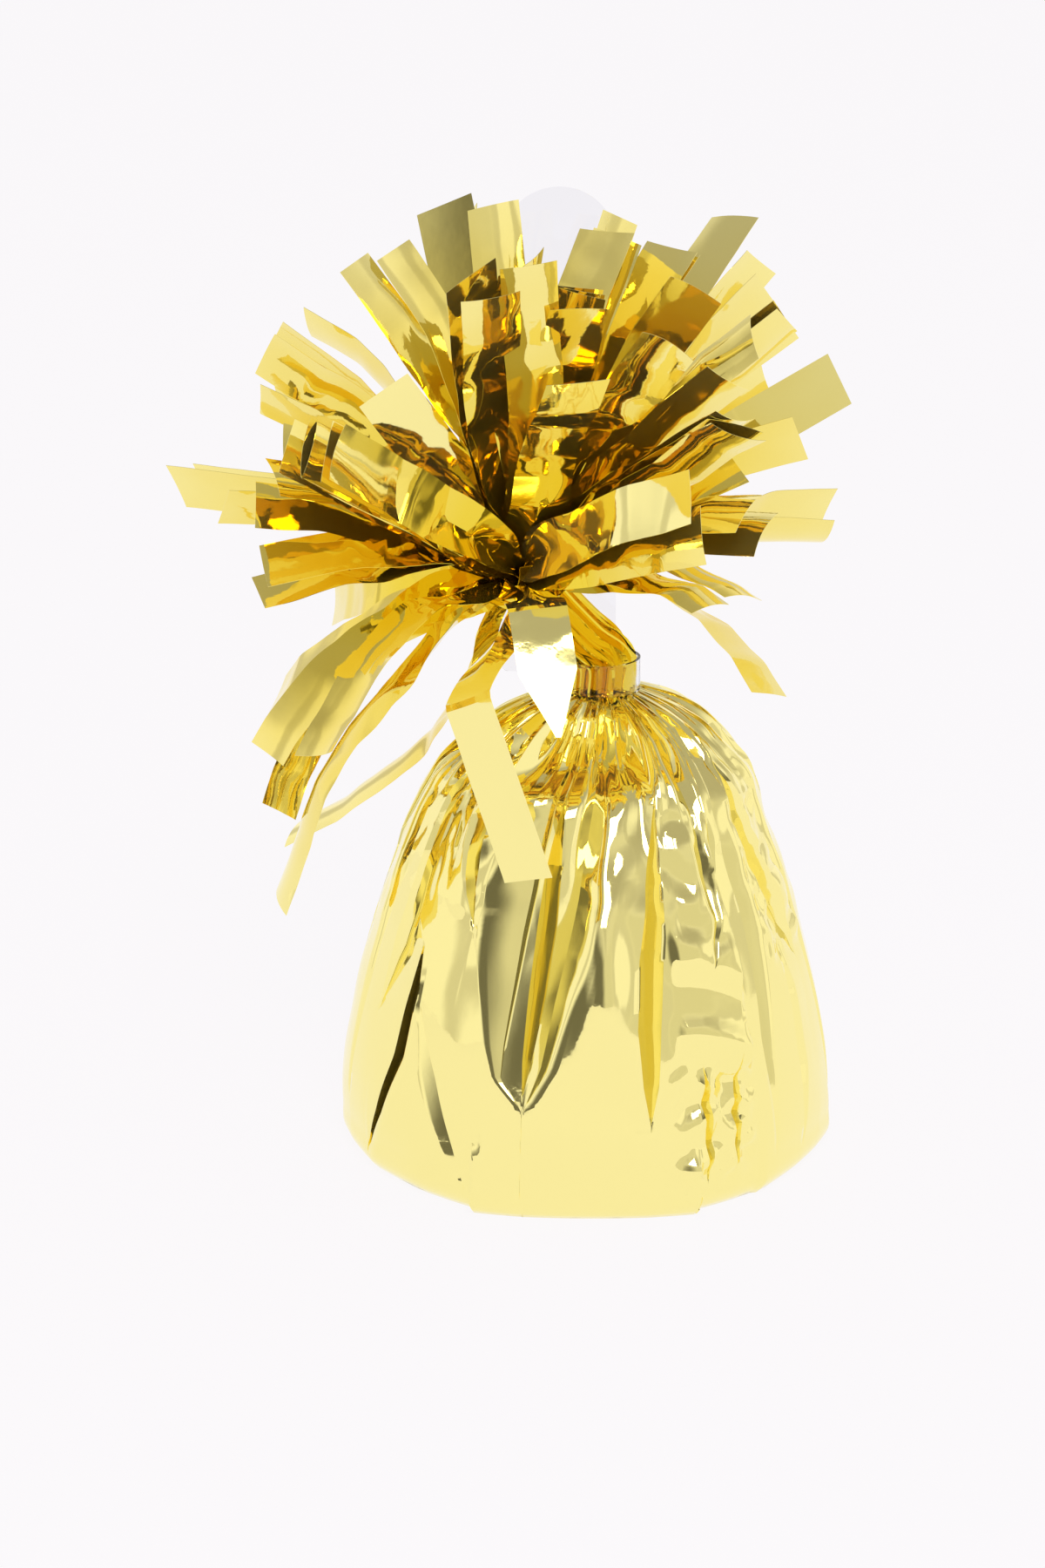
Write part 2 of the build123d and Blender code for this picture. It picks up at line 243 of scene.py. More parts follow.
def film_crinkle_group():
    """Fine crinkle of thin film: a height for bump and a mask of scuffed places."""
    group = bpy.data.node_groups.new("film_crinkle", "ShaderNodeTree")
    face = group.interface
    face.new_socket("Crinkle Scale", in_out="INPUT", socket_type="NodeSocketFloat").default_value = 600.0
    face.new_socket("Scuff Scale", in_out="INPUT", socket_type="NodeSocketFloat").default_value = 90.0
    face.new_socket("Height", in_out="OUTPUT", socket_type="NodeSocketFloat")
    face.new_socket("Scuff", in_out="OUTPUT", socket_type="NodeSocketFloat")
    nodes, links = group.nodes, group.links
    enter = nodes.new("NodeGroupInput")
    leave = nodes.new("NodeGroupOutput")
    place = nodes.new("ShaderNodeTexCoord")
    fine = nodes.new("ShaderNodeTexNoise")
    fine.inputs["Detail"].default_value = 3.0
    cells = nodes.new("ShaderNodeTexVoronoi")
    cells.feature = "F1"
    cells.distance = "MANHATTAN"
    scuffs = nodes.new("ShaderNodeTexNoise")
    scuffs.inputs["Detail"].default_value = 6.0
    band = nodes.new("ShaderNodeMapRange")
    band.inputs["From Min"].default_value = 0.55
    band.inputs["From Max"].default_value = 0.75
    for node in (fine, cells, scuffs):
        links.new(place.outputs["Object"], node.inputs["Vector"])
    maths = maths_in(group)
    links.new(enter.outputs["Crinkle Scale"], fine.inputs["Scale"])
    links.new(maths("MULTIPLY", enter.outputs["Crinkle Scale"], 0.35), cells.inputs["Scale"])
    height = maths("MULTIPLY_ADD", cells.outputs["Distance"], 0.5, fine.outputs["Fac"])
    links.new(height, leave.inputs["Height"])
    links.new(enter.outputs["Scuff Scale"], scuffs.inputs["Scale"])
    links.new(scuffs.outputs["Fac"], band.inputs["Value"])
    links.new(band.outputs["Result"], leave.inputs["Scuff"])
    return group


def gold_film(name, crinkle, colour, group):
    """Metallised gold film: mirror gloss with a fine crinkle, a little duller where it is scuffed."""
    material, nodes, links, shader = new_material(name)
    shader.inputs["Metallic"].default_value = 0.94
    shader.inputs["Base Color"].default_value = (*colour, 1)
    film = nodes.new("ShaderNodeGroup")
    film.node_tree = group
    film.inputs["Crinkle Scale"].default_value = 420.0
    film.inputs["Scuff Scale"].default_value = 120.0
    dull = nodes.new("ShaderNodeMapRange")
    dull.inputs["To Min"].default_value = 0.04
    dull.inputs["To Max"].default_value = 0.14
    bump = nodes.new("ShaderNodeBump")
    bump.inputs["Strength"].default_value = crinkle
    bump.inputs["Distance"].default_value = 0.0002
    links.new(film.outputs["Scuff"], dull.inputs["Value"])
    links.new(dull.outputs["Result"], shader.inputs["Roughness"])
    links.new(film.outputs["Height"], bump.inputs["Height"])
    links.new(bump.outputs["Normal"], shader.inputs["Normal"])
    return material


def paint_root_shade(material):
    """Paint a deeper gold towards the head: painted shade and painted inter-reflection where the strips lie
    close and mirror each other, not the film's colour.
    """
    tree = material.node_tree
    place = tree.nodes.new("ShaderNodeTexCoord").outputs["Object"]
    away = tree.nodes.new("ShaderNodeVectorMath")
    away.operation = "DISTANCE"
    away.inputs[1].default_value = HEAD * MM
    shade_mottle = tree.nodes.new("ShaderNodeTexNoise")
    shade_mottle.inputs["Scale"].default_value = 110.0
    shade_mottle.inputs["Detail"].default_value = 1.0
    tree.links.new(place, away.inputs[0])
    tree.links.new(place, shade_mottle.inputs["Vector"])
    shifted = maths_in(tree)("MULTIPLY_ADD", shade_mottle.outputs["Fac"], ROOT_SHADE_MOTTLE * MM, away.outputs["Value"])
    near, far = ((reach + ROOT_SHADE_MOTTLE / 2) * MM for reach in ROOT_SHADE_REACH)
    colour = colour_mix(tree, smooth_range(tree, shifted, near, far), ROOT_SHADE_GOLD, GOLD)
    tree.links.new(colour, tree.nodes["Principled BSDF"].inputs["Base Color"])


def clear_plastic(name, group):
    """Clear PET sheet with faint handling scuffs."""
    material, nodes, links, shader = new_material(name)
    shader.inputs["Base Color"].default_value = (0.93, 0.93, 0.95, 1)
    shader.inputs["Transmission Weight"].default_value = 1.0
    shader.inputs["IOR"].default_value = 1.25
    film = nodes.new("ShaderNodeGroup")
    film.node_tree = group
    dull = nodes.new("ShaderNodeMapRange")
    dull.inputs["To Min"].default_value = 0.03
    dull.inputs["To Max"].default_value = 0.2
    links.new(film.outputs["Scuff"], dull.inputs["Value"])
    links.new(dull.outputs["Result"], shader.inputs["Roughness"])
    return material


def cast_ballast(name):
    """Cast cement with grain and pores."""
    material, nodes, links, shader = new_material(name)
    place = nodes.new("ShaderNodeTexCoord")
    grain = nodes.new("ShaderNodeTexNoise")
    grain.inputs["Scale"].default_value = 350.0
    grain.inputs["Detail"].default_value = 8.0
    tint = nodes.new("ShaderNodeValToRGB")
    tint.color_ramp.elements[0].color = (0.42, 0.4, 0.37, 1)
    tint.color_ramp.elements[1].color = (0.62, 0.6, 0.56, 1)
    bump = nodes.new("ShaderNodeBump")
    bump.inputs["Strength"].default_value = 0.5
    bump.inputs["Distance"].default_value = 0.0005
    shader.inputs["Roughness"].default_value = 0.9
    links.new(place.outputs["Object"], grain.inputs["Vector"])
    links.new(grain.outputs["Fac"], tint.inputs["Fac"])
    links.new(tint.outputs["Color"], shader.inputs["Base Color"])
    links.new(grain.outputs["Fac"], bump.inputs["Height"])
    links.new(bump.outputs["Normal"], shader.inputs["Normal"])
    return material


GOLD = (1.0, 0.893, 0.355)
# painted shade and inter-reflection near the head: its deeper gold, the distances over which it fades out, and
# the noise on its edge
ROOT_SHADE_GOLD = (0.9, 0.68, 0.055)
ROOT_SHADE_REACH = (15.0, 57.0)  # from the head's centre
ROOT_SHADE_MOTTLE = 14.0
crinkle_group = film_crinkle_group()
wrap_film = gold_film("wrap_film", 0.05, GOLD, crinkle_group)
strip_film = gold_film("strip_film", 0.08, GOLD, crinkle_group)
# painted shade towards the head on the strips' film, which the stalk also takes
paint_root_shade(strip_film)
clear_film = clear_plastic("clear_film", crinkle_group)
ballast = cast_ballast("cast_ballast")


# Film strips: a node tree lays a film over stations along the strip's middle line

def strip_tree():
    """Stations (points with directions) in, a folded and crumpled film out; film_strip gives it thickness."""
    tree = bpy.data.node_groups.new("film_strip", "GeometryNodeTree")
    face = tree.interface
    face.new_socket("Stations", in_out="INPUT", socket_type="NodeSocketGeometry")
    columns = face.new_socket("Columns", in_out="INPUT", socket_type="NodeSocketInt")
    columns.default_value = 9
    crumple = face.new_socket("Crumple", in_out="INPUT", socket_type="NodeSocketFloat")
    crumple.default_value = 1.7 * MM
    cell = face.new_socket("Crumple Size", in_out="INPUT", socket_type="NodeSocketFloat")
    cell.default_value = 7 * MM
    face.new_socket("Seed", in_out="INPUT", socket_type="NodeSocketFloat")
    face.new_socket("Film", in_out="INPUT", socket_type="NodeSocketMaterial")
    face.new_socket("Strip", in_out="OUTPUT", socket_type="NodeSocketGeometry")
    nodes, links = tree.nodes, tree.links
    maths = maths_in(tree)
    enter = nodes.new("NodeGroupInput")
    leave = nodes.new("NodeGroupOutput")

    def vectors(operation, first, second):
        node = nodes.new("ShaderNodeVectorMath")
        node.operation = operation
        links.new(first, node.inputs[0])
        links.new(second, node.inputs["Scale"] if operation == "SCALE" else node.inputs[1])
        return node.outputs["Vector"]

    size = nodes.new("GeometryNodeAttributeDomainSize")
    links.new(enter.outputs["Stations"], size.inputs["Geometry"])
    grid = nodes.new("GeometryNodeMeshGrid")
    links.new(size.outputs["Point Count"], grid.inputs["Vertices X"])
    links.new(enter.outputs["Columns"], grid.inputs["Vertices Y"])
    index = nodes.new("GeometryNodeInputIndex").outputs[0]
    row = maths("FLOOR", maths("DIVIDE", maths("ADD", index, 0.5), enter.outputs["Columns"]))
    column = maths("SUBTRACT", index, maths("MULTIPLY", row, enter.outputs["Columns"]))
    last = maths("SUBTRACT", enter.outputs["Columns"], 1)
    side = maths("SUBTRACT", maths("MULTIPLY", maths("DIVIDE", column, last), 2), 1)

    def at_station(name, kind):
        sample = nodes.new("GeometryNodeSampleIndex")
        sample.data_type = kind
        links.new(enter.outputs["Stations"], sample.inputs["Geometry"])
        links.new(row, sample.inputs["Index"])
        if name == "position":
            links.new(nodes.new("GeometryNodeInputPosition").outputs[0], sample.inputs["Value"])
        else:
            named = nodes.new("GeometryNodeInputNamedAttribute")
            named.data_type = kind
            named.inputs["Name"].default_value = name
            links.new(named.outputs["Attribute"], sample.inputs["Value"])
        return sample.outputs["Value"]

    half = at_station("half_width", "FLOAT")
    fold = at_station("fold", "FLOAT")
    out = maths("MULTIPLY", side, half)
    lateral = vectors("SCALE", at_station("across", "FLOAT_VECTOR"),
                      maths("MULTIPLY", out, maths("COSINE", fold)))
    gutter = maths("MULTIPLY", maths("MULTIPLY", out, side), at_station("gutter", "FLOAT"))
    depth = maths("ADD", maths("MULTIPLY", maths("ABSOLUTE", out), maths("SINE", fold)), gutter)
    slant = vectors("SCALE", at_station("along", "FLOAT_VECTOR"),
                    maths("MULTIPLY", out, at_station("slant", "FLOAT")))
    flat = vectors("ADD", vectors("ADD", at_station("position", "FLOAT_VECTOR"), lateral), slant)
    dents = nodes.new("ShaderNodeTexNoise")
    dents.noise_dimensions = "4D"
    dents.inputs["Scale"].default_value = 1.0
    dents.inputs["Detail"].default_value = 1.0
    links.new(enter.outputs["Seed"], dents.inputs["W"])
    cells = vectors("SCALE", flat, maths("DIVIDE", 1.0, enter.outputs["Crumple Size"]))
    links.new(cells, dents.inputs["Vector"])
    rough = maths("MULTIPLY", at_station("loose", "FLOAT"), enter.outputs["Crumple"])
    rise = maths("ADD", depth, maths("MULTIPLY", maths("SUBTRACT", dents.outputs["Fac"], 0.5), rough))
    lifted = vectors("ADD", flat, vectors("SCALE", at_station("normal_way", "FLOAT_VECTOR"), rise))
    move = nodes.new("GeometryNodeSetPosition")
    links.new(grid.outputs["Mesh"], move.inputs["Geometry"])
    links.new(lifted, move.inputs["Position"])
    real = nodes.new("GeometryNodeRealizeInstances")
    links.new(move.outputs["Geometry"], real.inputs["Geometry"])
    paint = nodes.new("GeometryNodeSetMaterial")
    links.new(real.outputs["Geometry"], paint.inputs["Geometry"])
    links.new(enter.outputs["Film"], paint.inputs["Material"])
    links.new(paint.outputs["Geometry"], leave.inputs["Strip"])
    return tree


def set_inputs(modifier, **values):
    """Set a node modifier's inputs by their names."""
    for item in modifier.node_group.interface.items_tree:
        key = item.name.replace(" ", "_")
        if item.item_type == "SOCKET" and item.in_out == "INPUT" and key in values:
            modifier[item.identifier] = values[key]


def leaving(azimuth, elevation, roll, lift=0.0):
    """The way a strip leaves the head, its width direction and the side that it curls to."""
    azimuth, elevation, roll, lift = (math.radians(angle) for angle in (azimuth, elevation, roll, lift))
    out = Vector((math.cos(azimuth), math.sin(azimuth), 0))
    level = Vector((-math.sin(azimuth), math.cos(azimuth), 0))
    along = out * math.cos(elevation) + Vector((0, 0, math.sin(elevation)))
    across = level * math.cos(roll) + along.cross(level) * math.sin(roll)
    along = along * math.cos(lift) - across.cross(along) * math.sin(lift)
    return along, across, across.cross(along)


STATION_STEP = 0.8
STRIP_FOOT = 3.0  # the visible strip starts this far from the head's centre, inside the gather
FOOT_HALF_WIDTH = 2.0
WIDENING_LENGTH = 8.0  # from the foot to the full width
SLANT_LENGTH = 6.0  # of the end that is cut aslant
TIP_SHARE = 0.08  # of its width that a pointed end keeps
KINK_LENGTH = 0.9
STRIP_SHARP = 16.0
CALM_SLACK = 0.15
# strips with few dents, and their twist
CALM_STRIPS = {"left_strip_3": -11.0, "top_strip_2": 0.0, "right_strip_6": 0.0, "front_strip_3": 0.0}
# strips that take the wrap's film, so that they get no painted shade towards the head
STRIPS_WITHOUT_ROOT_SHADE = ("left_strip_3", "front_strip_1", "front_hanging_strip", "front_twisted_strip")
POINTED_STRIPS = {"front_twisted_strip": 9.0}  # cut or folded to a point over this length


def strip_stations(along, across, curl_side, length, turns, dice, fold, twist, slant, slack,
                   point_length=0.0):
    """Stations along a strip. turns lists its creases (distance, angle), and slack is its share of dents."""
    start = HEAD + along * STRIP_FOOT
    total = HEAD_RADIUS + STRIP_ROOT_GAP - STRIP_FOOT + length
    count = int(total / STATION_STEP) + 1
    step = total / (count - 1)
    lead = total - length
    fold_reach = dice.uniform(0.4, 0.7) * total * blend(0.5, 1, slack)
    gutter = dice.uniform(-0.22, 0.22) * slack
    point = start.copy()
    rows = []
    for i in range(count):
        distance = i * step
        past = distance - lead
        angle = sum(turn * float(ramp(past, at - KINK_LENGTH, at + KINK_LENGTH)) for at, turn in turns)
        angle = math.radians(angle)
        heading = along * math.cos(angle) + curl_side * math.sin(angle)
        normal = curl_side * math.cos(angle) - along * math.sin(angle)
        if i:
            point = point + heading * step
        turned = math.radians(twist * distance / total)
        width_way = across * math.cos(turned) + normal * math.sin(turned)
        normal_way = normal * math.cos(turned) - across * math.sin(turned)
        opened = float(ramp(distance, 0, fold_reach))
        widened = float(ramp(distance, 0, WIDENING_LENGTH))
        end = min(1.0, TIP_SHARE + (total - distance) / point_length) if point_length else 1.0
        rows.append({
            "position": point.copy(),
            "along": heading,
            "across": width_way,
            "normal_way": normal_way,
            "half_width": blend(FOOT_HALF_WIDTH, STRIP_WIDTH / 2, widened) * end,
            "fold": math.radians(fold) * (1 - opened),
            "slant": math.tan(math.radians(slant)) * float(ramp(distance, total - SLANT_LENGTH, total)),
            "gutter": gutter * opened,
            "loose": slack * (1 - 0.72 * float(ramp(distance, 0.35 * total, 0.8 * total))),
        })
    return rows


def station_object(name, rows):
    """A line of points with the stations' directions as attributes."""
    mesh = bpy.data.meshes.new(name)
    mesh.from_pydata([row["position"] * MM for row in rows], [], [])
    for key in ("along", "across", "normal_way"):
        layer = mesh.attributes.new(key, "FLOAT_VECTOR", "POINT")
        layer.data.foreach_set("vector", [x for row in rows for x in row[key]])
    for key, unit in (("half_width", MM), ("fold", 1), ("slant", 1), ("gutter", 1), ("loose", 1)):
        layer = mesh.attributes.new(key, "FLOAT", "POINT")
        layer.data.foreach_set("value", [row[key] * unit for row in rows])
    obj = bpy.data.objects.new(name, mesh)
    bpy.context.scene.collection.objects.link(obj)
    return obj


def crease_turns(length, curl, dice):
    """The creases that share a strip's curl, as on the part, and shallow ones that go there and back."""
    count = max(1, round(abs(curl) / CREASE_TURN))
    turns = [((i + 0.5 + dice.uniform(-0.15, 0.15)) / count * length, curl / count) for i in range(count)]
    for share in (0.3, 0.62):
        at = length * (share + dice.uniform(-0.08, 0.08))
        turn = dice.choice((-1, 1)) * dice.uniform(4, 13)
        turns += [(at, turn), (at + dice.uniform(3, 8), -turn)]
    return turns


strip_nodes = strip_tree()


def film_strip(name, leaves):
    """One piece from the stations of its leaves."""
    made = []
    for number, (rows, seed) in enumerate(leaves):
        obj = station_object(f"{name}.leaf{number}", rows)
        modifier = obj.modifiers.new("film", "NODES")
        modifier.node_group = strip_nodes
        # the listed strips get the wrap's film, without the painted shade towards the head
        set_inputs(modifier, Seed=seed, Film=wrap_film if name in STRIPS_WITHOUT_ROOT_SHADE else strip_film)
        add_wall(obj, 0)
        made.append(obj)
    first = made[0]
    if len(made) > 1:
        with bpy.context.temp_override(active_object=first, object=first, selected_editable_objects=made):
            bpy.ops.object.join()
    first.name = f"{name}.film"
    dress(first, name, STRIP_SHARP)
    return first


def make_strips():
    """Every strip and stack of leaves, each with its own random draws."""
    pieces = []
    for number, (name, (azimuth, elevation, length, curl, roll, leaves)) in enumerate(STRIPS.items()):
        dice = random.Random(SEED + number)
        made = []
        for leaf in range(leaves):
            lift = LEAF_STEP * (leaf - (leaves - 1) / 2)
            ways = leaving(azimuth, elevation, roll, lift)
            turns = crease_turns(length, curl, dice)
            fold = dice.choice((-1, 1)) * dice.uniform(30, 60)
            twist, slant = dice.uniform(-14, 14), dice.uniform(-14, 14)
            slack = 1.0
            if name in CALM_STRIPS:
                twist, slack = CALM_STRIPS[name], CALM_SLACK
            rows = strip_stations(*ways, length, turns, dice, fold, twist, slant, slack)
            made.append((rows, dice.uniform(0, 100)))
        pieces.append(film_strip(name, made))
    for number, (name, (azimuth, elevation, lead, tail, turn, roll)) in enumerate(CREASED_STRIPS.items()):
        dice = random.Random(SEED + 100 + number)
        ways = leaving(azimuth, elevation, roll)
        rows = strip_stations(*ways, lead + tail, [(lead, turn)], dice, fold=50, twist=0, slant=8, slack=0.3,
                              point_length=POINTED_STRIPS.get(name, 0))
        pieces.append(film_strip(name, [(rows, dice.uniform(0, 100))]))
    return pieces


strips = make_strips()


# Film wrap: cross-sections are chains of panels and pleats, drawn in towards the neck

WRAP_PROFILE = [(0, 29.6), (1.0, 30.5), (5, 31.2), (11, 31.0), (17, 29.9), (23, 28.6), (29, 26.9), (35, 25.0),
                (41, 22.8), (47, 20.4), (50, 18.9), (53.5, 16.0), (55.8, 13.2), (57.5, 9.8), (59, 5.4)]
WRAP_LEAN_FROM = 40.0  # above this height the sections move over towards the neck
LEAST_OPENING = 0.12  # half width of a pleat where it has no depth
FOLD_LIP = 0.3  # how far the film's turned edges stand out beside a deep pleat
FULL_LIP_DEPTH = 2.0  # of the pleats that have the whole lip
NARROW_FILM = 12.0  # below this radius, near the neck, pleats and gathers get shallower
SHOULDER = 47.0
PANEL_FLATNESS = (0.2, 0.5)  # share of a straight panel between pleats, at the base and from the shoulder up


def pleat(*places, left=0.8, right=0.8, left_floor=0.0, right_floor=0.0, shift=0.0):
    """A valley through places (height, azimuth from the front, depth). left and right are the widths of its
    sides for each millimetre of depth, the floors are shares of the depth that their outer edges keep, and
    shift moves the bottom sideways under an overlapping edge."""
    return {
        "places": places,
        "left": left,
        "right": right,
        "left_floor": left_floor,
        "right_floor": right_floor,
        "shift": shift,
    }


def to_neck(azimuth):
    """The end of a pleat that runs into the neck."""
    return (53, azimuth, 1.4), (59, azimuth, 0.8)


WRAP_PLEATS = [
    pleat((9, -172, 0), (47, -170, 2.2), *to_neck(-170)),
    pleat((19, -155, 0), (47, -153, 2.0), *to_neck(-153)),
    pleat((7, -138, 0), (47, -136, 2.3), *to_neck(-136)),
    pleat((21, -121, 0), (47, -119, 1.8), *to_neck(-119)),
    pleat((12, -104, 0), (47, -103, 2.2), *to_neck(-103)),
    pleat((26, -88, 0), (47, -89, 1.8), *to_neck(-89)),
    # left edge fold, brown fold and the black slit below it
    pleat((8, -74, 0), (24, -72, 1.0), (38, -71, 1.8), (47, -75, 1.9), *to_neck(-75), left=1.2, right=0.5),
    pleat((21, -63.5, 0), (29, -60, 2.6), (41, -58.5, 3.2), (49, -60, 2.4), *to_neck(-60),
          left=0.4, right=0.3, right_floor=0.5),
    pleat((2.5, -62, 0), (9, -57, 1.5), (17, -52.5, 2.4), (26, -50.2, 1.8), (31, -50, 0),
          (34, -54.5, 0), (42, -55, 0), (59, -57, 0), left=0.05, right=0.75, shift=-0.8),
    # turned facet low on the left, and the pocket above
    pleat((2.5, -29, 0), (8, -33, 0.5), (16, -39.5, 0.6), (24, -46.5, 0), left=4.0),
    pleat((3, -24, 0), (24, -36, 0), (34.6, -34, 0), (40, -38, 2.4), (47, -41, 3.0), *to_neck(-41),
          left=0.5, right=0.4),
    # the two sides of the V in front, and the gold slot between them
    pleat((14.3, -15.8, 0), (17.6, -21.5, 0.25), (21.4, -21.6, 0.7), (28, -20.9, 1.45), (34, -20.2, 2.0),
          (40, -18.5, 2.0), (47, -17.5, 1.8), *to_neck(-18), left=2.7, right=0.6, right_floor=0.2),
    pleat((15.5, -15.7, 0), (20, -15.6, 1.4), (28, -14.6, 2.6), (36, -13.4, 2.9), (42, -12.6, 2.4),
          (49, -12, 0.6), (52, -12, 0), left=0.2, right=0.6, left_floor=0.1, right_floor=0.3),
    pleat((14.3, -15.2, 0), (19, -12, 1.0), (27, -9.2, 1.8), (33.5, -6, 2.1), (38.5, -3.4, 2.2),
          (44, -1.5, 1.9), (47, -1, 1.7), *to_neck(0), left=1.3, right=1.2, left_floor=0.35),
    # gold slit, a tuck at the base, and the fold between two small slits
    pleat((12.3, 14, 0), (17, 14.6, 1.6), (24, 15, 2.5), (32, 17, 2.6), (40, 20, 1.7), (46, 22, 0.6),
          (50, 22.8, 0), left=0.66, right=0.52),
    pleat((0, 24.8, 0.5), (4, 25.4, 0.7), (7, 26, 0), left=0.1, shift=-0.3),
    pleat((4, 28, 0), (8, 28.5, 1.2), (14, 27.5, 1.3), (19, 27.5, 0), left=0.4, right=0.5),
    pleat((3, 31, 0), (30, 32, 0), (36, 36, 0.5), (45, 37, 1.0), *to_neck(37), left=1.5, right=1.2),
    pleat((5, 35, 0), (9, 35.5, 1.1), (15, 36, 1.0), (20, 37, 0), (30, 39, 0), (59, 41, 0),
          left=0.5, right=0.4),
    # soft folds on the right, and the slit in them
    pleat((5, 48, 0), (20, 47.5, 0.8), (34, 50, 1.2), (47, 48, 1.2), *to_neck(50), left=0.8, right=1.9),
    pleat((4, 60, 0), (14, 61.5, 0.8), (24, 62, 0.7), (30, 62, 0), (42, 57, 0), (54, 54.5, 0),
          left=0.8, right=1.8),
    pleat((27, 70.5, 0), (34, 68, 2.4), (42, 62.5, 3.0), (48, 59.5, 2.2), (54, 58, 0),
          left=0.3, right=0.42, left_floor=0.75),
    pleat((5, 80, 0), (16, 79, 0.9), (47, 76, 1.7), *to_neck(74), left=0.6, right=1.2),
    pleat((16, 98, 0), (47, 94, 2.0), *to_neck(93)),
    pleat((23, 116, 0), (47, 112, 2.2), *to_neck(112)),
    pleat((9, 134, 0), (47, 131, 1.8), *to_neck(131)),
    pleat((20, 153, 0), (47, 151, 2.2), *to_neck(151)),
]
# columns of the mesh in a panel, in a panel at the back and in each side of a pleat
PANEL_STEPS = 10
BACK_STEPS = 5
FOLD_STEPS = 4
FRONT_REACH = 86.0  # azimuth up to which a panel isn't at the back
WRAP_ROWS = [(0, 6, 10), (6.6, 47, 66), (47.4, 59, 32)]  # (height from, to, rows of the mesh)
WRAP_SHARP = 55.0
GATHERS = (19, 37)  # wide and fine ones, round the neck
GATHER_DEPTH = 2.8
SUNKEN_GATHER = 3.2  # how far the gather in front of the neck lies back
BASE_CORNERS = [-180, -155, -130, -105, -82, -61, -44, -27, 25.5, 43, 79, 105, 130, 155, 180]
BASE_FLATNESS = 0.4
NECK_TUCK = 0.76  # share of its width to which the film's top edge is drawn in, under the band
# swellings: (how far out, azimuth, height, half width in degrees, half height)
SWELLINGS = [(1.6, 4, 30, 5, 8), (-0.5, 9, 14, 3, 6)]
FRONT_PANEL_DROP = 2.0  # how far the panel between the V and the gold slit lies back at its top
RAISED_EDGE = 2.0  # how far the panel to the right of the gold slit stands out at its right edge
# dents of that panel: (height, how far it stands out)
PANEL_DENTS = [(17, 0), (19.5, 0), (22.8, 0.8), (25, 0.1), (28, 0), (31.4, 0.9), (33.4, 0.7), (47, -1.0),
               (51, 0)]
MM_PER_DEGREE = 0.44  # round the film, half way up
# straight creases that cross to leave flat facets: (direction, spacing, height of a ridge)
CRUMPLE_CREASES = [(18, 7.3, 0.34), (72, 9.1, 0.36), (-48, 6.2, 0.26), (-14, 11.7, 0.42), (100, 5.1, 0.16)]
# where the film is crumpled: (azimuth from, to, height from, to, how much, how finely)
CRUMPLED_ZONES = [
    (22, 40, 31, 50, 0.8, 1.6),
    (-3, 21, 37, 51, 0.7, 1),
    (-52, -22, 36, 51, 0.9, 1),
    (20, 40, 3, 19, 1.5, 2),
    (42, 56, 34, 56, 0.6, 1),
    (56, 80, 28, 54, 1.0, 1.7),
    (-100, -55, 30, 54, 0.4, 1),
    (-23, -3, 30, 50, 0.35, 1),
    (78, 180, 30, 55, 0.5, 1),
    (-180, -100, 30, 55, 0.5, 1),
    (13, 21, 4, 12, 0.4, 1),
]


def wrap_section(z, radius):
    """Azimuths and radii round one section: panels between pleats, and the pleats' two sides."""
    chain = []
    degrees = math.degrees(1 / radius)  # for each millimetre round the film
    for fold in WRAP_PLEATS:
        heights, azimuths, depths = zip(*fold["places"])
        azimuth = float(np.interp(z, heights, azimuths))
        depth = float(np.interp(z, heights, depths)) * min(1, radius / NARROW_FILM)
        if z < heights[0] or z > heights[-1]:
            depth = 0.0
        left = azimuth - max(LEAST_OPENING, fold["left"] * depth) * degrees
        right = azimuth + max(LEAST_OPENING, fold["right"] * depth) * degrees
        if chain and left < chain[-1][0]:
            left = chain[-1][0] + 0.01
        lip = FOLD_LIP * min(1, depth / FULL_LIP_DEPTH)
        chain.append((left, lip - depth * fold["left_floor"]))
        chain.append((max(azimuth + fold["shift"] * depth * degrees, left - 3), -depth))
        chain.append((max(right, left + 0.02), lip - depth * fold["right_floor"]))
    azimuths, radii = [], []
    count = len(chain)
    for i, (azimuth, drop) in enumerate(chain):
        after, after_drop = chain[(i + 1) % count]
        if i == count - 1:
            after += 360
        panel = i % 3 == 2
        steps = FOLD_STEPS
        if panel:
            steps = PANEL_STEPS if abs(WRAP_PLEATS[i // 3]["places"][0][1]) < FRONT_REACH else BACK_STEPS
        for step in range(steps):
            share = step / steps
            azimuths.append(blend(azimuth, after, share))
            chord = blend(drop, after_drop, share)
            if panel:
                sweep = math.radians(after - azimuth) / 2
                flat = radius * (math.cos(sweep) / math.cos(sweep * (2 * share - 1)) - 1)
                chord += flat * blend(*PANEL_FLATNESS, min(1, z / SHOULDER))
            radii.append(radius + chord)
    return np.array(azimuths), np.array(radii)


def triangle_wave(value):
    """0 at whole numbers, 1 half way between them."""
    return 2 * np.abs(value - np.floor(value + 0.5))


def hill(azimuths, z, at, height, width, tall):
    """Round swelling, 1 at its middle."""
    return np.exp(-((azimuths - at) / width) ** 2 - ((z - height) / tall) ** 2)


def between_azimuths(azimuths, low, high, edge):
    return ramp(azimuths, low - edge, low + edge) * (1 - ramp(azimuths, high - edge, high + edge))


def crumple(azimuths, z):
    """Facets between straight creases."""
    total = np.zeros(len(azimuths))
    for number, (direction, spacing, height) in enumerate(CRUMPLE_CREASES):
        way = math.radians(direction)
        across = (azimuths * MM_PER_DEGREE * math.cos(way) + z * math.sin(way)) / spacing
        bent = 0.18 * np.sin(0.9 * across + 0.11 * azimuths + 1.7 * number)
        total += height * (triangle_wave(across + bent + 0.37 * number) - 0.5)
    return total


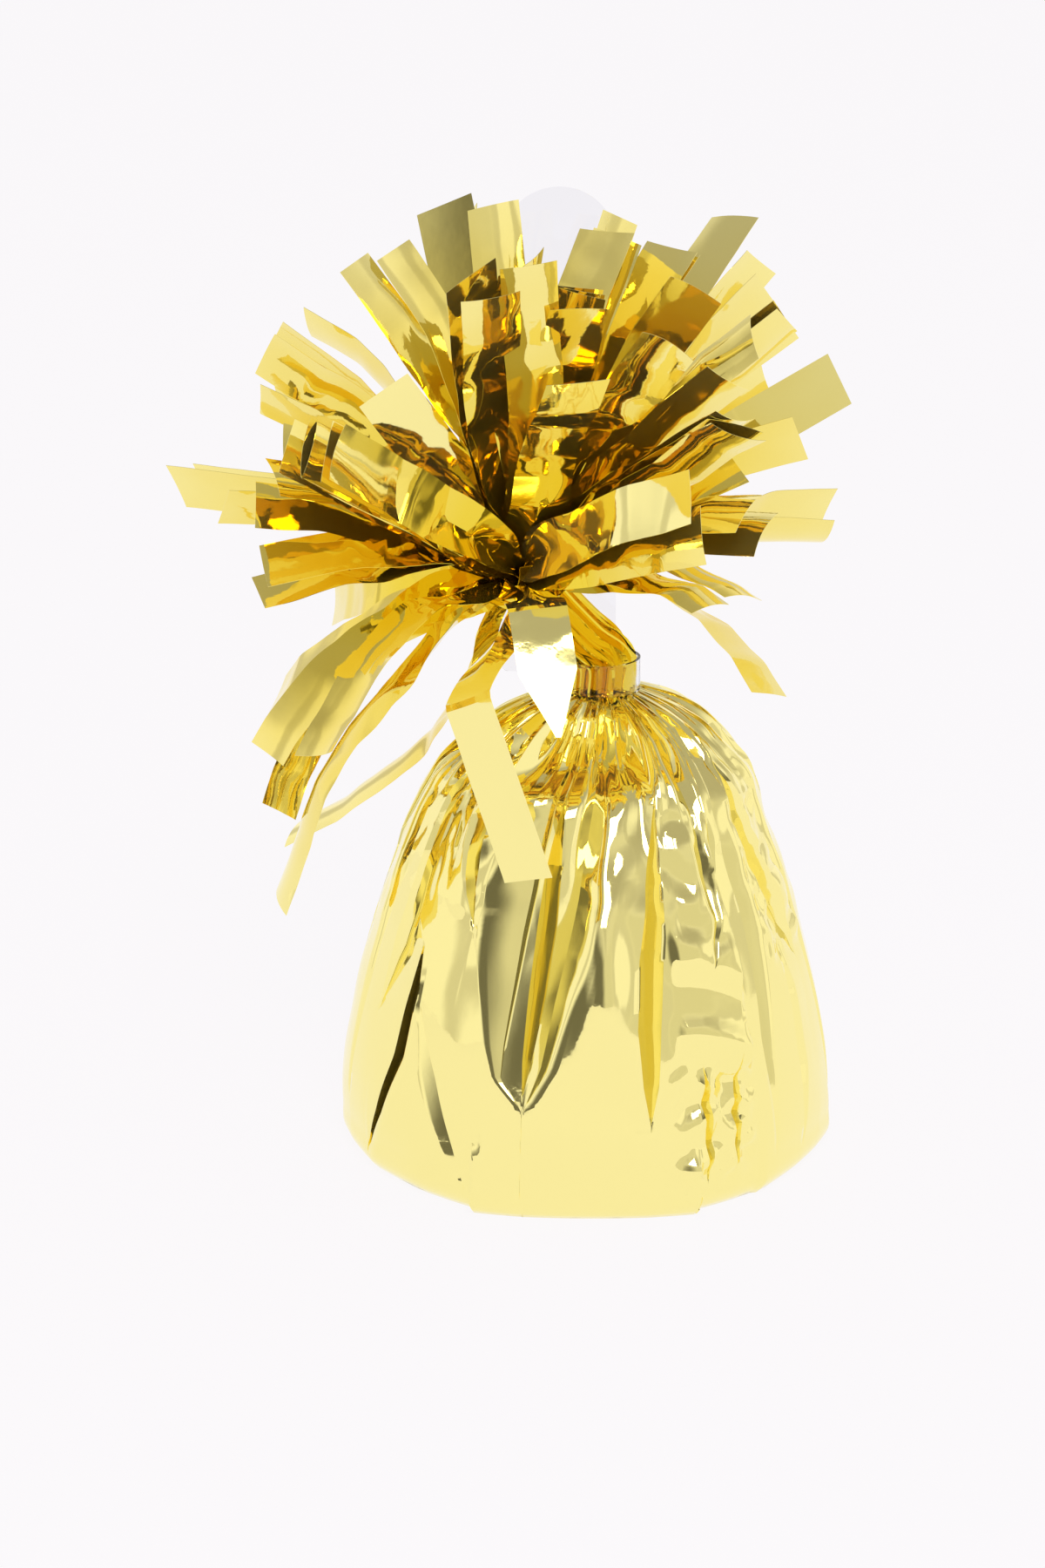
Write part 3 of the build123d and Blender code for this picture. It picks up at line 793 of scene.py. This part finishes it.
def wrap_relief(azimuths, z, radius):
    """What stands out of the folded film or lies back: flats of the base, swellings, dents and gathers."""
    turned = (azimuths + 180) % 360 - 180
    corner = np.clip(np.searchsorted(BASE_CORNERS, turned) - 1, 0, len(BASE_CORNERS) - 2)
    start = np.array(BASE_CORNERS)[corner]
    end = np.array(BASE_CORNERS)[corner + 1]
    off = np.radians(turned - (start + end) / 2)
    relief = radius * (1 / np.cos(off) - 1) * BASE_FLATNESS * (1 - float(ramp(z, 1, 13)))
    for out, *place in SWELLINGS:
        relief = relief + out * hill(turned, z, *place)
    # panels on both sides of the gold slit
    relief = relief - FRONT_PANEL_DROP * between_azimuths(turned, -3, 21, 3) * float(ramp(z, 36, 49))
    edge = np.interp(turned, (22, 39, 42), (0, 1, 0))
    relief = relief + RAISED_EDGE * edge * float(ramp(z, 15, 20) * (1 - ramp(z, 45, 50)))
    lens = z + 0.16 * (turned - 31) + 0.9 * ((turned - 31) / 9) ** 2
    heights, amounts = zip(*PANEL_DENTS)
    relief = relief + np.interp(lens, heights, amounts) * between_azimuths(turned, 22, 41, 2.5)
    # crumples
    for low, high, bottom, top, amount, finely in CRUMPLED_ZONES:
        facets = crumple(turned * finely, z * finely)
        inside = float(ramp(z, bottom - 1.5, bottom + 2.5) * (1 - ramp(z, top - 2.5, top + 1.5)))
        relief = relief + amount * inside * facets * between_azimuths(turned, low, high, 2)
    # slack of the film
    a = np.radians(turned)
    relief = relief + 0.10 * np.sin(5 * a + 0.12 * z) * np.sin(0.23 * z + 2 * a)
    relief = relief + 0.06 * np.sin(17 * a - 0.2 * z) * np.sin(0.4 * z + 5 * a) * float(ramp(z, 8, 30))
    # sunken gather in front, and fine gathers all round towards the neck
    sunk = between_azimuths(turned, -36, 21, 5) * float(ramp(z, 49.6, 52.5) * (1 - ramp(z, 54.5, 58.8)))
    wander = 0.12 * np.sin(3 * a + 2.0) + 0.08 * np.sin(7 * a)
    wide, fine = (count * turned / 360 for count in GATHERS)
    gather = 0.65 * triangle_wave(wide + 2.4 * wander) + 0.35 * triangle_wave(fine - 3 * wander + 0.3)
    gather = gather * float(ramp(z, 47.5, 54)) * min(1, radius / NARROW_FILM)
    return relief - SUNKEN_GATHER * sunk - GATHER_DEPTH * gather


def wrap_film_mesh():
    """Points and faces of the film: its sections, the edge under the band and the flat bottom."""
    heights = [z for low, high, rows in WRAP_ROWS for z in np.linspace(low, high, rows)]
    points = []
    for z in heights:
        radius = float(through(WRAP_PROFILE, z))
        azimuths, radii = wrap_section(z, radius)
        radii = radii + wrap_relief(azimuths, z, radius)
        shift = NECK.x * float(ramp(z, WRAP_LEAN_FROM, NECK.z))
        a = np.radians(azimuths)
        points += [(x, y, z) for x, y in zip(radii * np.sin(a) + shift, -radii * np.cos(a))]
    columns = len(points) // len(heights)
    points += [(blend(NECK.x, x, NECK_TUCK), y * NECK_TUCK, z) for x, y, z in points[-columns:]]
    faces = tube_faces(columns, len(heights) + 1)
    # flat bottom
    below = list(range(columns))
    for share in (0.85, 0.55, 0.25):
        ring = list(range(len(points), len(points) + columns))
        points += [(x * share, y * share, 0.0) for x, y, _ in points[:columns]]
        for i in range(columns):
            k = (i + 1) % columns
            faces.append((ring[i], ring[k], below[k], below[i]))
        below = ring
    middle = len(points)
    points.append((0, 0, 0))
    for i in range(columns):
        faces.append((middle, below[(i + 1) % columns], below[i]))
    return points, faces


points, faces = wrap_film_mesh()
wrap = mesh_object("foil_wrap.film", points, faces, wrap_film)
add_wall(wrap, -1)
dress(wrap, "foil_wrap", WRAP_SHARP)


# Gathered stalk: pleated film from the neck to the head, then a short flare between the strips

STALK_RADII = [4.2, 4.3, 4.3, 3.8, 3.9, 4.8, 6.4]  # at the points of its path
STALK_PLEATS = 16
STALK_PLEAT_DEPTH = 0.42  # share of the radius
STALK_PLEAT_COLUMNS = 6
STALK_ROWS = 40
STALK_SHARP = 20.0


def stalk_mesh():
    """Points and faces of the stalk: upright in the band, then leaning towards the head."""
    band_top = NECK + Vector((0, 0, BAND_HEIGHT))
    lean = (HEAD - band_top).normalized()
    path = [NECK + Vector((0, 0, -1)), NECK, band_top]
    path += [band_top + lean * 5, HEAD - lean * 4, HEAD, HEAD + lean * 4]
    columns = STALK_PLEATS * STALK_PLEAT_COLUMNS
    keys = range(len(path))
    points = []
    for s in np.linspace(0, len(path) - 1, STALK_ROWS):
        centre = Vector([float(through([(k, path[k][c]) for k in keys], s)) for c in range(3)])
        radius = float(through([(k, STALK_RADII[k]) for k in keys], s))
        direction = Vector((0, 0, 1)).lerp(lean, float(ramp(s, 1.5, 3))).normalized()
        right = Vector((1, 0, 0)) - direction * direction.x
        right.normalize()
        front = direction.cross(right)
        for i in range(columns):
            angle = 2 * math.pi * i / columns
            wave = float(triangle_wave(i / STALK_PLEAT_COLUMNS + 0.35 * math.sin(3 * angle)))
            r = radius * (1 - STALK_PLEAT_DEPTH * wave)
            points.append(tuple(centre + (right * math.cos(angle) + front * math.sin(angle)) * r))
    return points, tube_faces(columns, STALK_ROWS)


points, faces = stalk_mesh()
# the stalk takes the strips' film, with its painted shade towards the head
stalk = mesh_object("gathered_stalk.film", points, faces, strip_film)
add_wall(stalk, -1)
dress(stalk, "gathered_stalk", STALK_SHARP)


# Pieces kept from the part

for node, material in (("ballast_plug", ballast), ("neck_band", clear_film), ("ribbon_tab", clear_film)):
    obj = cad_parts[node]
    obj.data.materials.clear()
    obj.data.materials.append(material)


# Studio: pale floor, white tent with a dim opening behind the camera, and a softbox

BACKDROP = (1.0, 0.98, 1.0)
FLOOR_GLOW = 0.9  # share of the backdrop's brightness that the camera and the film see in the floor
ROOM_LEFT = (0.13, 0.125, 0.11)
ROOM_RIGHT = (0.72, 0.7, 0.65)
TENT_WALL = (1.0, 0.985, 1.0)
TENT_SEAM = (0.7, 0.68, 0.66)
TENT_COVER = (0.46, 0.44, 0.42)
SEAM_COUNT = 9.0


def floor_material():
    """Pale paper that looks lit to rays from the camera, off gloss and through glass."""
    material = bpy.data.materials.new("floor_paper")
    material.use_nodes = True
    tree = material.node_tree
    nodes, links = tree.nodes, tree.links
    nodes.clear()
    maths = maths_in(tree)
    path = nodes.new("ShaderNodeLightPath").outputs
    seen = maths("MAXIMUM", path["Is Camera Ray"], path["Is Glossy Ray"])
    seen = maths("MAXIMUM", seen, path["Is Transmission Ray"])
    paper = nodes.new("ShaderNodeBsdfDiffuse")
    paper.inputs["Color"].default_value = (0.88, 0.875, 0.9, 1)
    glow = nodes.new("ShaderNodeEmission")
    glow.inputs["Color"].default_value = (*BACKDROP, 1)
    mix = nodes.new("ShaderNodeMixShader")
    links.new(maths("MULTIPLY", seen, FLOOR_GLOW), mix.inputs["Fac"])
    links.new(paper.outputs[0], mix.inputs[1])
    links.new(glow.outputs[0], mix.inputs[2])
    out = nodes.new("ShaderNodeOutputMaterial")
    links.new(mix.outputs[0], out.inputs["Surface"])
    return material


FLOOR_REACH = 6000.0
FLOOR_DROP = 0.05
corners = [(x * FLOOR_REACH, y * FLOOR_REACH, -FLOOR_DROP) for x, y in ((-1, -1), (1, -1), (1, 1), (-1, 1))]
floor = mesh_object("floor", corners, [(0, 1, 2, 3)], floor_material())


def studio_world():
    """White tent with soft seams, dim on the camera's side between the floor and the softbox."""
    world = bpy.data.worlds.new("studio")
    bpy.context.scene.world = world
    world.use_nodes = True
    tree = world.node_tree
    nodes, links = tree.nodes, tree.links
    nodes.clear()
    maths = maths_in(tree)
    place = nodes.new("ShaderNodeTexCoord")
    split = nodes.new("ShaderNodeSeparateXYZ")
    links.new(place.outputs["Generated"], split.inputs[0])
    x, y, z = split.outputs
    level = maths("SQRT", maths("ADD", maths("MULTIPLY", x, x), maths("MULTIPLY", y, y)))
    facing = maths("DIVIDE", maths("MULTIPLY", y, -1.0), level)
    low = maths("SUBTRACT", 1.0, smooth_range(tree, z, 0.42, 0.6))
    opening = maths("MULTIPLY", smooth_range(tree, facing, 0.55, 0.8), low)
    room = colour_mix(tree, smooth_range(tree, x, -0.3, 0.12), ROOM_LEFT, ROOM_RIGHT)
    waves = maths("SINE", maths("MULTIPLY", maths("ARCTAN2", x, y), SEAM_COUNT))
    walls = colour_mix(tree, smooth_range(tree, waves, 0.2, 0.95), TENT_WALL, TENT_SEAM)
    tent = colour_mix(tree, smooth_range(tree, z, 0.35, 0.75), walls, TENT_COVER)
    mirrored = colour_mix(tree, opening, tent, room)
    path = nodes.new("ShaderNodeLightPath")
    back = nodes.new("ShaderNodeBackground")
    links.new(colour_mix(tree, path.outputs["Is Camera Ray"], mirrored, BACKDROP), back.inputs["Color"])
    out = nodes.new("ShaderNodeOutputWorld")
    links.new(back.outputs[0], out.inputs["Surface"])


studio_world()


def softbox(name, azimuth, elevation, distance, width, height, watts):
    """Area lamp that faces the object. Azimuth is from the front to the right, and lengths are in metres."""
    lamp = bpy.data.lights.new(name, "AREA")
    lamp.shape = "RECTANGLE"
    lamp.size = width
    lamp.size_y = height
    lamp.energy = watts
    obj = bpy.data.objects.new(name, lamp)
    a, e = math.radians(azimuth), math.radians(elevation)
    way = Vector((math.sin(a) * math.cos(e), -math.cos(a) * math.cos(e), math.sin(e)))
    obj.location = Vector((0, 0, 0.05)) + way * distance
    obj.rotation_euler = way.to_track_quat("Z", "Y").to_euler()
    bpy.context.scene.collection.objects.link(obj)


softbox("key_softbox", azimuth=5, elevation=45, distance=0.9, width=0.38, height=0.34, watts=2.2)

camera = bpy.data.cameras.new("camera")
camera.sensor_fit = "VERTICAL"
camera.sensor_height = CAMERA_SENSOR
camera.lens = CAMERA_LENS
camera.clip_end = 100
view = bpy.data.objects.new("camera", camera)
view.location = Vector(CAMERA_EYE) * MM
view.rotation_euler = (math.radians(90 - CAMERA_PITCH), 0, 0)
bpy.context.scene.collection.objects.link(view)
bpy.context.scene.camera = view
bpy.context.scene.view_settings.view_transform = "Standard"
